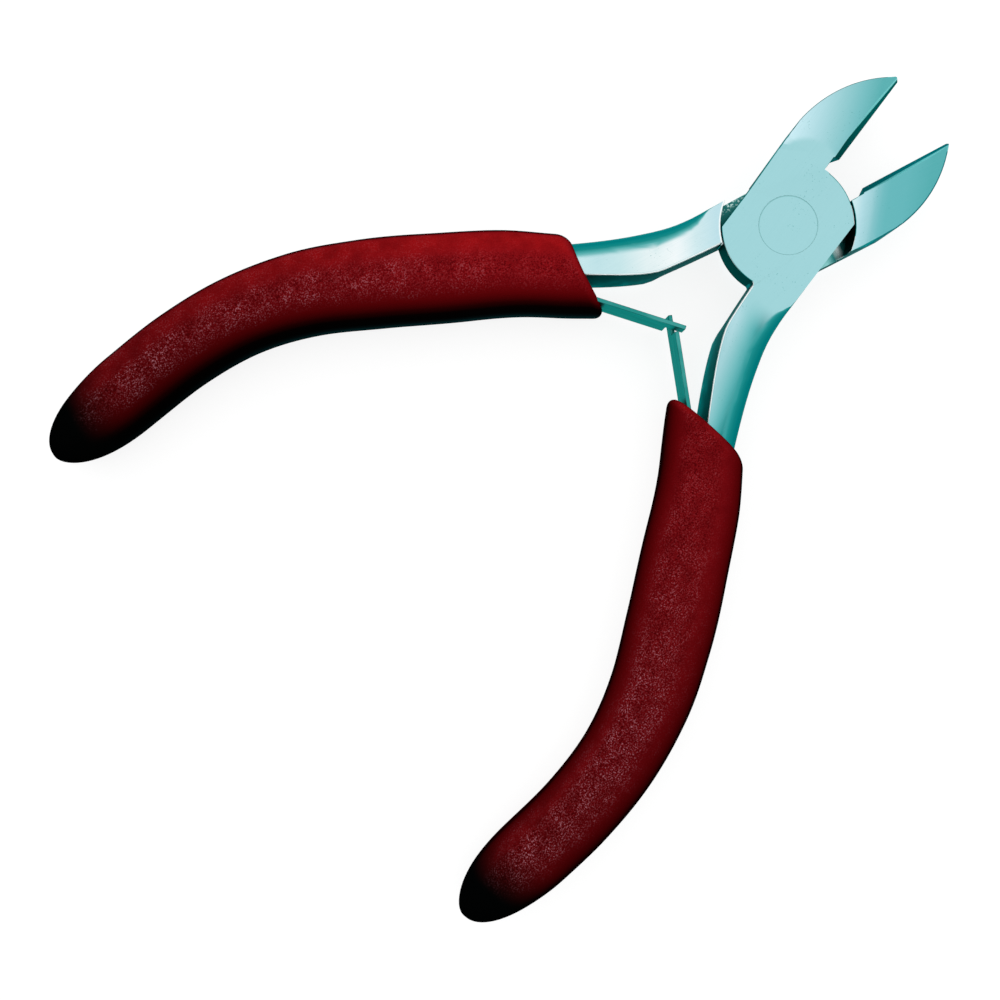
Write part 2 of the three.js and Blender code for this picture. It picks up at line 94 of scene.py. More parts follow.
def addNode(tree, kind, inputs=None, span=(), stops=None, **settings):
    node = tree.nodes.new("ShaderNode" + kind)
    for name, value in settings.items():
        setattr(node, name, value)
    for socket, value in enumerate(span, 1):  # where a blend starts and ends, then its value at each
        node.inputs[socket].default_value = value
    for socket, value in (inputs or {}).items():  # a value, a hex colour, a node or one of its outputs
        if isinstance(value, str):
            value = linearColor(value)
        if isinstance(value, bpy.types.Node):
            value = next(output for output in value.outputs if output.enabled)
        if isinstance(value, bpy.types.NodeSocket):
            tree.links.new(value, node.inputs[socket])
        else:
            node.inputs[socket].default_value = value
    if stops:
        ramp = node.color_ramp
        ramp.elements[0].position = stops[0][0]
        ramp.elements[1].position = stops[-1][0]
        for position, color in stops[1:-1]:
            ramp.elements.new(position)
        for element, (position, color) in zip(ramp.elements, stops):
            element.color = linearColor(color)
    return node


def newMaterial(name):
    material = bpy.data.materials.new(name)
    material.use_nodes = True
    tree = material.node_tree
    tree.nodes.clear()
    return material, tree


def surfaceSpot(tree):  # where a point of the surface lies in its piece's frame, in mm, and how it faces
    coords = addNode(tree, "TexCoord")
    place = addNode(tree, "VectorMath", {0: coords.outputs["Object"], "Scale": 1 / mm}, operation="SCALE")
    return place, coords.outputs["Normal"]


def cadMesh(node, half):  # a node's solid in its half's shut frame, with its corners welded
    bm = bmesh.new()
    bm.from_mesh(frame["nodes"][node].data)
    bm.transform(shutFrames[half].inverted())
    bmesh.ops.remove_doubles(bm, verts=bm.verts, dist=weldGap)
    return bm


def makePiece(name, bm, half, sharpAngle):
    mesh = bpy.data.meshes.new(name)
    bmesh.ops.recalc_face_normals(bm, faces=bm.faces)
    bm.to_mesh(mesh)
    bm.free()
    mesh.shade_smooth()
    mesh.set_sharp_from_angle(angle=math.radians(sharpAngle))
    piece = bpy.data.objects.new(name, mesh)
    scene.collection.objects.link(piece)
    piece.matrix_world = shutFrames[half]
    return piece


def loftRings(bm, rings):
    loops = [[bm.verts.new(point) for point in ring] for ring in rings]
    for a, b in zip(loops, loops[1:]):
        for i in range(len(a)):
            j = (i + 1) % len(a)
            bm.faces.new((a[i], b[i], b[j], a[j]))
    for loop in (loops[0], loops[-1]):
        middle = bm.verts.new(sum((v.co for v in loop), Vector()) / len(loop))
        for i in range(len(loop)):
            bm.faces.new((middle, loop[i], loop[(i + 1) % len(loop)]))


# Arms: the solid of the frame with its facets smoothed and its edges broken as after tumbling
armSettings = {
    "flatAngle": 0.3,  # degrees, facets nearer than this are one face
    "edgeAngle": 28,  # degrees, sharper corners are broken
    "edgeRound": 0.09,  # mm
    "noseRound": {"front": 0.12, "back": 0.26},  # mm, along the outer curve of the jaw
    "noseStart": 7.5, "noseTurn": 0.05,  # mm in x, and how far its wall faces outward at least
    "innerRound": 0.2,  # mm, along the handle's inner edge behind the pivot
    "innerStart": -9, "innerTurn": 0.3,
    "rimRound": 0.16,  # mm, round the disc's front
    "rimStart": 4, "rimEnd": 8.6, "rimTurn": 0.3,  # mm, the start in x and the end from the pivot
    "faceLevel": 0.85, "wallLevel": 0.3,  # how level a face is at least and a wall at most
    "rivetRim": 3.9,  # mm, edges inside this radius stay crisp round the rivet
    "lapRoom": 0.4,  # mm, edges this near the middle of the thickness stay crisp round the lap
    "unfolds": 3,  # passes over the slivers that tight corners leave
    "sharpAngle": 50,  # degrees
}


def forgedArm(half):
    bm = cadMesh(f"{half}_arm", half)
    flat = math.radians(armSettings["flatAngle"])
    bmesh.ops.dissolve_limit(bm, angle_limit=flat, verts=bm.verts, edges=bm.edges)
    bmesh.ops.recalc_face_normals(bm, faces=bm.faces)
    skin = BVHTree.FromBMesh(bm)
    limit = math.radians(armSettings["edgeAngle"])
    rivetRim = armSettings["rivetRim"] * mm
    lapRoom = armSettings["lapRoom"] * mm

    def isCorner(edge):
        sharp = edge.is_manifold and edge.is_convex and edge.calc_face_angle() > limit
        outside = any(v.co.xy.length > rivetRim for v in edge.verts)
        inLap = all(abs(v.co.z - headThickness / 2) < lapRoom for v in edge.verts)
        return sharp and outside and not inLap

    def meetsWall(edge, axis, least):  # between a face of the arm and a wall that looks along the axis
        walls = [f for f in edge.link_faces if abs(f.normal.z) < armSettings["wallLevel"]]
        onFace = any(abs(f.normal.z) > armSettings["faceLevel"] for f in edge.link_faces)
        return onFace and any(f.normal[axis] > least for f in walls)

    def isNose(edge):
        ahead = min(v.co.x for v in edge.verts) > armSettings["noseStart"] * mm
        return ahead and meetsWall(edge, 1, armSettings["noseTurn"])

    def isInner(edge):
        behind = max(v.co.x for v in edge.verts) < armSettings["innerStart"] * mm
        return behind and meetsWall(edge, 1, armSettings["innerTurn"])

    def isRim(edge):
        ahead = min(v.co.x for v in edge.verts) > armSettings["rimStart"] * mm
        onDisc = max(v.co.xy.length for v in edge.verts) < armSettings["rimEnd"] * mm
        return ahead and onDisc and meetsWall(edge, 0, armSettings["rimTurn"])

    broken = set()
    rounds = [
        (armSettings["noseRound"][half], isNose), (armSettings["innerRound"], isInner),
        (armSettings["rimRound"], isRim), (armSettings["edgeRound"], isCorner),
    ]
    for offset, wanted in rounds:
        corners = [e for e in bm.edges if e not in broken and isCorner(e) and wanted(e)]
        made = bmesh.ops.bevel(
            bm, geom=corners, offset=offset * mm, segments=2, profile=0.5,
            affect="EDGES", clamp_overlap=False)
        broken.update(made["edges"])
    for vert in bm.verts:  # whatever a tight corner threw off the solid goes back onto it
        spot, _, _, distance = skin.find_nearest(vert.co)
        if distance > armSettings["edgeRound"] * mm:
            vert.co = spot
    for again in range(armSettings["unfolds"]):  # and a folded face joins the one across its longest edge
        bmesh.ops.recalc_face_normals(bm, faces=bm.faces)
        seams = set()
        for face in bm.faces:
            _, outward, _, _ = skin.find_nearest(face.calc_center_median())
            if face.normal.dot(outward) < 0:
                seams.add(max(face.edges, key=lambda e: e.calc_length()))
        bmesh.ops.dissolve_edges(bm, edges=list(seams), use_verts=False, use_face_split=False)
    arm = makePiece(f"{half}_forged_arm", bm, half, armSettings["sharpAngle"])
    arm.modifiers.new("flatFaces", "WEIGHTED_NORMAL").keep_sharp = True
    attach(arm, f"{half}_arm")
    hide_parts(f"{half}_arm")
    return arm


# Pivot rivet: swaged out until it all but fills its countersinks, then ground flush
rivetSettings = {
    "swell": 0.053, "headDepth": 0.8, "shank": 2.6, "edge": 0.015,  # mm
    "sides": 96, "sharpAngle": 30,
}


def flushRivet():
    low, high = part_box("pivot_rivet")
    head = (high.x - low.x) / 2 / mm + rivetSettings["swell"]
    shank, edge = rivetSettings["shank"], rivetSettings["edge"]
    lower = [(head - edge, 0), (head, edge), (head, rivetSettings["headDepth"]),
             (shank, rivetSettings["headDepth"] + head - shank)]
    height = (high.z - low.z) / mm
    profile = lower + [(r, height - z) for r, z in reversed(lower)]
    turns = [2 * math.pi * i / rivetSettings["sides"] for i in range(rivetSettings["sides"])]
    bm = bmesh.new()
    loftRings(bm, [[Vector((r * math.cos(a), r * math.sin(a), z)) * mm for a in turns] for r, z in profile])
    rivet = makePiece("flush_rivet", bm, "front", rivetSettings["sharpAngle"])
    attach(rivet, "back_arm")
    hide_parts("pivot_rivet")
    return rivet


# Grips: a dipped skin over the handle, swelling at the palm, rounded off at its end and lipped at its mouth
gripSettings = {
    "path": [  # middle line in the shut frame, mm
        (-20, -4.3), (-26, -7.9), (-32, -11.5), (-40, -15.3), (-48, -18.8), (-56, -21.7),
        (-64, -23.15), (-72, -23.0), (-80, -21.75), (-86, -20.6), (-92, -19.5),
    ],
    "leanStart": -30,
    "mouthWidth": 9.9, "palmWidth": 11.1, "waistWidth": 9.9, "tailWidth": 9.3,
    "palmX": -44, "waistX": -64,
    "thickness": 10,
    "roundness": 2.5,  # exponent of the section: 2 is an ellipse, more is squarer
    "endLength": 11.8, "endRadius": 5.8,
    "endPoint": 0.0004,  # share of the end's length where the last ring sits, all but a point
    "lip": 1.2, "slantFade": 9,
    "sides": 72, "step": 1, "lipRings": 7, "endRings": 22, "sharpAngle": 40,
    "boreRoom": 0.1,  # round the handle inside the grip
    "slotRoom": 0.35,  # round the leaf where it leaves the grip
    "slotReach": 14, "slotRoof": 2, "slotRoofEnd": 4.9,  # off the bend, with room over the rivet on the strip
    "front": {"mouthX": -24.95, "mouthSlant": 0.085, "mouthBow": 0, "endX": -91.2, "lean": 0.009},
    "back": {"mouthX": -23.95, "mouthSlant": -0.05, "mouthBow": 0.45, "endX": -92.4, "lean": -0.01},
}


def smoothThrough(points, x):  # the curve y(x) through points given from right to left
    spans = [b[0] - a[0] for a, b in zip(points, points[1:])]
    slopes = [(b[1] - a[1]) / span for a, b, span in zip(points, points[1:], spans)]
    tangents = [slopes[0]]
    for i in range(1, len(slopes)):
        tangents.append((slopes[i - 1] * spans[i] + slopes[i] * spans[i - 1]) / (spans[i - 1] + spans[i]))
    tangents.append(slopes[-1])
    if x >= points[0][0]:
        return points[0][1] + slopes[0] * (x - points[0][0])
    i = 0
    while i < len(points) - 2 and x < points[i + 1][0]:
        i += 1
    (x0, y0), (x1, y1) = points[i], points[i + 1]
    span = x1 - x0
    t = (x - x0) / span
    rest = 1 - t
    return ((1 + 2 * t) * rest * rest * y0 + t * rest * rest * span * tangents[i]
            + t * t * (3 - 2 * t) * y1 - t * t * rest * span * tangents[i + 1])


def gripRing(own, x):
    def middle(at):
        return smoothThrough(gripSettings["path"], at) + own["lean"] * min(0, at - gripSettings["leanStart"])

    def rounding(length):
        return math.sqrt(max(0, 1 - max(0, 1 - (x - own["endX"]) / length) ** 2))

    def squared(value):
        return math.copysign(abs(value) ** (2 / gripSettings["roundness"]), value)

    slope = (middle(x - 1) - middle(x + 1)) / 2
    width = smoothThrough([
        (own["mouthX"], gripSettings["mouthWidth"]), (gripSettings["palmX"], gripSettings["palmWidth"]),
        (gripSettings["waistX"], gripSettings["waistWidth"]), (own["endX"], gripSettings["tailWidth"]),
    ], x)
    fromMouth = own["mouthX"] - x
    lip = gripSettings["lip"]
    inset = lip - math.sqrt(max(0, lip ** 2 - max(0, lip - fromMouth) ** 2))
    halfY = width / 2 * math.hypot(1, slope) * rounding(gripSettings["endLength"]) - inset
    halfZ = gripSettings["thickness"] / 2 * rounding(gripSettings["endRadius"]) - inset
    nearMouth = max(0, 1 - fromMouth / gripSettings["slantFade"])
    ring = []
    for i in range(gripSettings["sides"]):
        angle = 2 * math.pi * i / gripSettings["sides"]
        off = halfY * squared(math.cos(angle))
        bow = own["mouthBow"] * (1 - min(1, off / halfY) ** 2) if halfY else 0
        slantedX = x + (own["mouthSlant"] * off - bow) * nearMouth
        z = headThickness / 2 + halfZ * squared(math.sin(angle)) * mm
        ring.append((slantedX * mm, (middle(slantedX) + off) * mm, z))
    return ring


def gripStations(own):
    lip, end = gripSettings["lip"], gripSettings["endLength"]
    lipRings, endRings = gripSettings["lipRings"], gripSettings["endRings"]
    stations = [own["mouthX"] - lip * (1 - math.cos(math.pi / 2 * i / lipRings)) for i in range(lipRings)]
    first, last = own["mouthX"] - lip, own["endX"] + end
    count = round((first - last) / gripSettings["step"])
    stations += [first + (last - first) * i / count for i in range(count)]
    stations += [own["endX"] + end * (1 - math.sin(math.pi / 2 * i / endRings)) for i in range(endRings)]
    return stations + [own["endX"] + end * gripSettings["endPoint"]]


# Leaf springs: one strip each, riveted along the handle's wall, bent off it and hooked past the other
leafSettings = {
    "wallAngle": 26.6, "leafAngle": 46.3,  # degrees, in the shut frame
    "thickness": 0.5, "rootLength": 8, "bendRadius": 2.2, "edgeRound": 0.07, "step": 0.5,  # mm
    "edgeAngle": 60, "sharpAngle": 50,  # degrees
    "flexEnd": 0.6,  # the share of the free length that takes the bending
}


def leafFrame(half):  # where the leaf bends off the wall, and the two directions
    bend = shutFrames[half].inverted() @ Vector(joints[f"{half}_leaf_flex"]["pos_m"])
    wall, leaf = (math.radians(leafSettings[key]) for key in ("wallAngle", "leafAngle"))
    return bend, wall, leaf


def leafHeights(half):
    bm = cadMesh(f"{half}_leaf_blade", half)
    heights = [v.co.z for v in bm.verts]
    bm.free()
    return min(heights), max(heights)


def leafSlot(half):  # the room in the grip for the leaf as it swings, as a wedge off the wall
    bend, wall, leaf = leafFrame(half)
    slotRoom = gripSettings["slotRoom"] * mm
    room = slotRoom + leafSettings["thickness"] / 2 * mm
    rear = leafSettings["rootLength"] * mm + room
    front, roof, roofEnd = (gripSettings[key] * mm for key in ("slotReach", "slotRoof", "slotRoofEnd"))
    outline = [(-rear, -roof), (-rear, roof), (roofEnd, roof),
               (front, front * math.tan(leaf - wall) + room), (front, -roof)]
    turn = Matrix.Translation(bend) @ Matrix.Rotation(wall, 4, "Z")
    low, high = leafHeights(half)
    bm = bmesh.new()
    rings = [[bm.verts.new(turn @ Vector((x, y, z - bend.z))) for x, y in outline]
             for z in (low - slotRoom, high + slotRoom)]
    bm.faces.new(rings[0])
    bm.faces.new(reversed(rings[1]))
    for i in range(len(outline)):
        j = (i + 1) % len(outline)
        bm.faces.new((rings[0][i], rings[1][i], rings[1][j], rings[0][j]))
    return bm


def dippedGrip(half):
    own = gripSettings[half]
    bm = bmesh.new()
    loftRings(bm, [gripRing(own, x) for x in gripStations(own)])
    grip = makePiece(f"{half}_dipped_grip", bm, half, gripSettings["sharpAngle"])
    handle = cadMesh(f"{half}_arm", half)
    handle.normal_update()
    for vert in handle.verts:
        vert.co += vert.normal * gripSettings["boreRoom"] * mm
    cutters = [makePiece("bore", handle, half, 180), makePiece("slot", leafSlot(half), half, 180)]
    for cutter in cutters:
        cut = grip.modifiers.new(cutter.name, "BOOLEAN")
        cut.operation = "DIFFERENCE"
        cut.solver = "EXACT"
        cut.object = cutter
    bpy.context.view_layer.update()
    shaped = bpy.data.meshes.new_from_object(grip.evaluated_get(bpy.context.evaluated_depsgraph_get()))
    grip.modifiers.clear()
    grip.data = shaped
    for cutter in cutters:
        bpy.data.objects.remove(cutter)
    shaped.shade_smooth()
    shaped.set_sharp_from_angle(angle=math.radians(gripSettings["sharpAngle"]))
    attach(grip, f"{half}_arm")
    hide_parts(f"{half}_grip")
    return grip


def leafSpring(half):
    bend, wall, leaf = leafFrame(half)
    along = Vector((math.cos(leaf), math.sin(leaf), 0))
    blade = cadMesh(f"{half}_leaf_blade", half)
    reach = [(v.co - bend).dot(along) for v in blade.verts]
    tongueEnd = max(reach)
    tongue = [v.co.z for v, s in zip(blade.verts, reach) if s > tongueEnd - hair]
    body = [v.co.z for v in blade.verts]
    shoulder = max(s for v, s in zip(blade.verts, reach) if v.co.z > max(tongue) + hair)
    heights = min(body), max(tongue), max(body)
    blade.free()
    radius = leafSettings["bendRadius"] * mm
    turn = leaf - wall
    arc = radius * turn
    start = -leafSettings["rootLength"] * mm

    def place(s, off):  # along the strip and off its middle, through the bend
        if s < -arc / 2:
            angle, point = wall, bend + Vector((math.cos(wall), math.sin(wall), 0)) * s
        elif s > arc / 2:
            angle, point = leaf, bend + along * s
        else:
            share = (s + arc / 2) / arc
            angle = wall + turn * share
            back = bend - Vector((math.cos(wall), math.sin(wall), 0)) * radius * math.tan(turn / 2)
            centre = back + Vector((-math.sin(wall), math.cos(wall), 0)) * radius
            point = centre - Vector((-math.sin(angle), math.cos(angle), 0)) * radius
        return point + Vector((-math.sin(angle), math.cos(angle), 0)) * off

    step = leafSettings["step"] * mm
    marks = [start, -arc / 2, -arc / 6, arc / 6, arc / 2, shoulder, tongueEnd]
    stations = []
    for a, b in zip(marks, marks[1:]):
        count = max(1, round((b - a) / step))
        stations += [a + (b - a) * i / count for i in range(count)]
    stations.append(tongueEnd)
    halfThick = leafSettings["thickness"] * mm / 2
    bm = bmesh.new()
    sides = []
    for off in (-halfThick, halfThick):
        sides.append([[bm.verts.new((*place(s, off).xy, z)) for z in heights] for s in stations])
    cells = []
    for i, s in enumerate(stations[:-1]):
        for k in (0, 1):
            if k == 0 or s < shoulder - hair:
                cells.append((i, k))
    for i, k in cells:
        for side in sides:
            bm.faces.new((side[i][k], side[i + 1][k], side[i + 1][k + 1], side[i][k + 1]))
    present = set(cells)
    for i, k in cells:
        borders = [
            ((i - 1, k), (i, k), (i, k + 1)), ((i + 1, k), (i + 1, k), (i + 1, k + 1)),
            ((i, k - 1), (i, k), (i + 1, k)), ((i, k + 1), (i, k + 1), (i + 1, k + 1)),
        ]
        for neighbour, (ai, ak), (bi, bk) in borders:
            if neighbour not in present:
                bm.faces.new((sides[0][ai][ak], sides[0][bi][bk], sides[1][bi][bk], sides[1][ai][ak]))
    loose = [v for v in bm.verts if not v.link_faces]
    bmesh.ops.delete(bm, geom=loose, context="VERTS")
    bmesh.ops.recalc_face_normals(bm, faces=bm.faces)
    limit = math.radians(leafSettings["edgeAngle"])
    rims = [e for e in bm.edges if e.is_manifold and e.calc_face_angle() > limit]
    bmesh.ops.bevel(
        bm, geom=rims, offset=leafSettings["edgeRound"] * mm, segments=2, profile=0.5,
        affect="EDGES", clamp_overlap=False)
    spring = makePiece(f"{half}_leaf_spring", bm, half, leafSettings["sharpAngle"])
    spring.modifiers.new("flatFaces", "WEIGHTED_NORMAL").keep_sharp = True
    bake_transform(spring)
    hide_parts(f"{half}_leaf_root", f"{half}_leaf_blade")
    return spring


arms = {half: forgedArm(half) for half in shutFrames}
rivet = flushRivet()
print("arms:", {half: len(arm.data.polygons) for half, arm in arms.items()}, "faces")
grips = {half: dippedGrip(half) for half in shutFrames}
print("grips:", {half: len(grip.data.polygons) for half, grip in grips.items()}, "faces")
springs = {half: leafSpring(half) for half in shutFrames}
print("leaf springs:", {half: len(spring.data.polygons) for half, spring in springs.items()}, "faces")


# Nickel-plated forged steel, ground flat on its faces and left dull on its walls: pale cool faces with
# painted shade that turns them teal round the edges and nearly black down the walls, painted reflections and
# highlights across the faces and along some edges, and grinding lines and a few specks in the plating.
# Turns are shares of a right angle off the face, places are mm in the shut frame
steelSettings = {
    "base": "#A2D5DA", "tint": "#63BFC0",
    "roughness": 0.28, "wallRoughness": 0.5, "roughTurn": (0.1, 0.8),
    "jawRun": (8.6, 9.2),  # in x, where the jaw takes over from the handle
    "grindWidth": 0.12,  # mm, grinding lines; real ones are nearer 0.02 and would not show
    "grindLength": 4, "grindTurn": 0.5,  # mm, and radians
    "grindSpan": (0.35, 0.75, 0, 0.1), "grindColor": "#7FBFC5",
    "grindDepth": 0.02, "grindStrength": 0.05,
    "speckSize": 0.22, "speckSpan": (0.66, 0.72, 0, 0.6), "speckColor": "#4C9B9C",
    "patchSize": 10 / 3, "patchSpan": (0.5, 0.62),  # the patches that have specks
    # painted shade: the colour darkens to teal as the surface turns off the face
    "handleTurn": [  # colour by turn
        (0.0, "#A2D5DA"), (0.09, "#8CC9CB"), (0.21, "#4FABAA"), (0.34, "#178A88"), (0.56, "#118284"),
        (0.75, "#2A9B9B"), (1.0, "#1B8887"),
    ],
    "turnStart": (0, 0.27), "turnEnd": (0.16, 0.36),  # where that comes in, on the handle and on the jaw
    # painted highlight line on the jaw's bevel: its fade, band and facing
    "bevelFade": 0.06,  # mm, edge of the light line on the jaw's bevel
    "bevelBand": (0.6, 0.6), "bevelFacing": (0.1, 0.3),  # middle and half height in y; how far it faces up
    # painted shade down the walls
    "wallDepth": [  # down the walls, from the front face to the back one
        (0.0, "#0A4A46"), (0.45, "#0F5F5B"), (0.8, "#178280"), (1.0, "#2AA3A0"),
    ],
    "wallTurn": (0.78, 0.92),
    "lumpSize": 1.6, "lumpSpan": (0.3, 0.7, -0.2, 0.2),
    # painted shade on the walls inside the lap and on the jaw's walls
    "lapWall": "#023A35", "lapSpan": (8.6, 9.2, 0.8, 0),  # from the pivot
    "jawWall": "#13787A", "jawWallRun": (8.5, 8.8),
    # painted highlight on edges: its colour, how far the edge turns, and how near the face it lies
    "edgeHighlightColor": "#F4FCFD", "edgeIn": (0.08, 0.2), "edgeOut": (0.78, 0.9, 1, 0), "edgeDepth": (0.8, 1.2, 1, 0),
    "innerEdge": (-8, -6, 1, 0), "innerFacing": (0.1, 0.3),  # along the handle, and how far it faces inward
    "discEdge": (2.5, 4), "discFacing": (-0.3, -0.1, 1, 0),  # middle and half length along the disc's flat
}
steelPieces = {
    "front": {
        "jawTurn": "#07605C", "visible": headThickness / mm,
        "bevelHighlight": {"at": (16, 0.42), "turn": 87, "color": "#86D3D2"},  # along the top of the jaw's bevel
        "handleTurn": [
            (0, "#6FBBBD"), (0.1, "#43A4A5"), (0.21, "#1F8F8F"), (0.34, "#128383"), (0.56, "#0C7C7E"),
            (0.75, "#1B8C8C"), (1, "#1B8887"),
        ],
        # painted reflections from pale to teal along the jaw's face past its facet's edge, and painted shade over
        # the handle's outer rounding
        "layers": [
            {"form": "LINEAR", "at": (7.4, 6.4), "turn": 24, "size": (1, 1), "fade": (0, 0.2), "sweep": {
                "at": (8, 6), "turn": -70, "length": 9,
                "stops": [(0, "#CEEFF7"), (0.33, "#B0DCE3"), (0.55, "#98CFD4"), (0.78, "#7BC1C5"),
                          (1, "#5DB2B3")],
            }},
            {"form": "SPHERICAL", "at": (6.43, 2.25), "size": (4.6, 4.6), "fade": (0.03, 0.22),
             "color": "#A2D5DA"},
            {"form": "LINEAR", "at": (-9, 0), "turn": 180, "size": (4, 4), "fade": (0, 1), "sweep": {
                "at": (-12, -1.73), "turn": -72.7, "length": 4.27,
                "stops": [(0, "#B3DCE3"), (0.2, "#98CFD4"), (0.375, "#7BC2C5"), (0.55, "#55AEB0"),
                          (0.7, "#258F8F"), (0.85, "#0E7C7D"), (1, "#0A787A")],
            }},
        ],
    },
    "back": {
        "jawTurn": "#0C767C", "visible": 0,
        "bevelHighlight": {"at": (13, 0.79), "turn": 88.5, "color": "#7CCDCE"},
        # painted shade down the walls, darker on this half
        "wallDepth": [(0, "#02332E"), (0.45, "#054845"), (0.8, "#0C6462"), (1, "#178280")],
        # painted highlight line round the shoulder
        "shoulderRing": (8.36, 8.44, 1, 0), "shoulderRun": (-2, -1, 1, 0),  # from the pivot, and in x
        # painted shade, a painted highlight stripe and a painted shadow by the shoulder, along x
        "floor": [  # the lap's floor along x, seen in the two windows beside the disc
            (0.08, "#0F4B48"), (0.25, "#236F6C"), (0.36, "#3B8F8B"), (0.7, "#8FD2D0"), (0.77, "#2A908E"),
            (0.825, "#EAFBFA"), (0.86, "#1E7B7A"), (0.91, "#0A4A46"),
        ],
        "floorRun": (-8, 8), "floorRoom": 0.5, "floorLevel": (0.6, 0.8),
        "scaleSize": 0.3, "scaleSpan": (0.5, 0.62), "scaleRun": (-5.9, -5.2, 1, 0), "scaleColor": "#C8EAE6",
        # painted reflection fading from the shoulder along the jaw, and a painted highlight across the handle's
        # face
        "layers": [
            {"form": "LINEAR", "at": (4, 0), "size": (1, 1), "fade": (0, 1), "sweep": {
                "at": (8.2, 0), "turn": 38, "length": 10,
                "stops": [(0.1, "#D0EDF1"), (0.2, "#B4DEE6"), (0.3, "#A0D2D9"), (0.36, "#86C5CB"),
                          (0.43, "#72BDC2"), (0.5, "#68B9BD"), (0.7, "#66B8BC"), (1, "#58B0B2")],
            }},
            {"form": "LINEAR", "at": (-4, 0), "turn": 180, "size": (1, 1), "fade": (0, 1), "sweep": {
                "at": (-8.5, -2.5), "turn": 206.6, "length": 17,
                "stops": [(0, "#C1E2EA"), (0.15, "#D4ECF0"), (0.3, "#FAFEFF"), (0.5, "#F6FCFD"),
                          (0.68, "#D6EFF2"), (0.85, "#C6E6EB"), (1, "#CDECEF")],
            }},
        ],
    },
    "rivet": {  # a faint ring where it meets the arm
        "jawTurn": "#86BFC0", "visible": headThickness / mm, "base": "#86BFC1",
        "handleTurn": [(0, "#A2D5DA"), (0.5, "#86BFC0"), (1, "#5FA9AA")],
        "layers": [
            {"form": "SPHERICAL", "at": (-0.03, -0.03), "size": (3.6, 3.6), "fade": (0.01, 0.04),
             "color": "#A2D5DA"},
        ],
    },
}


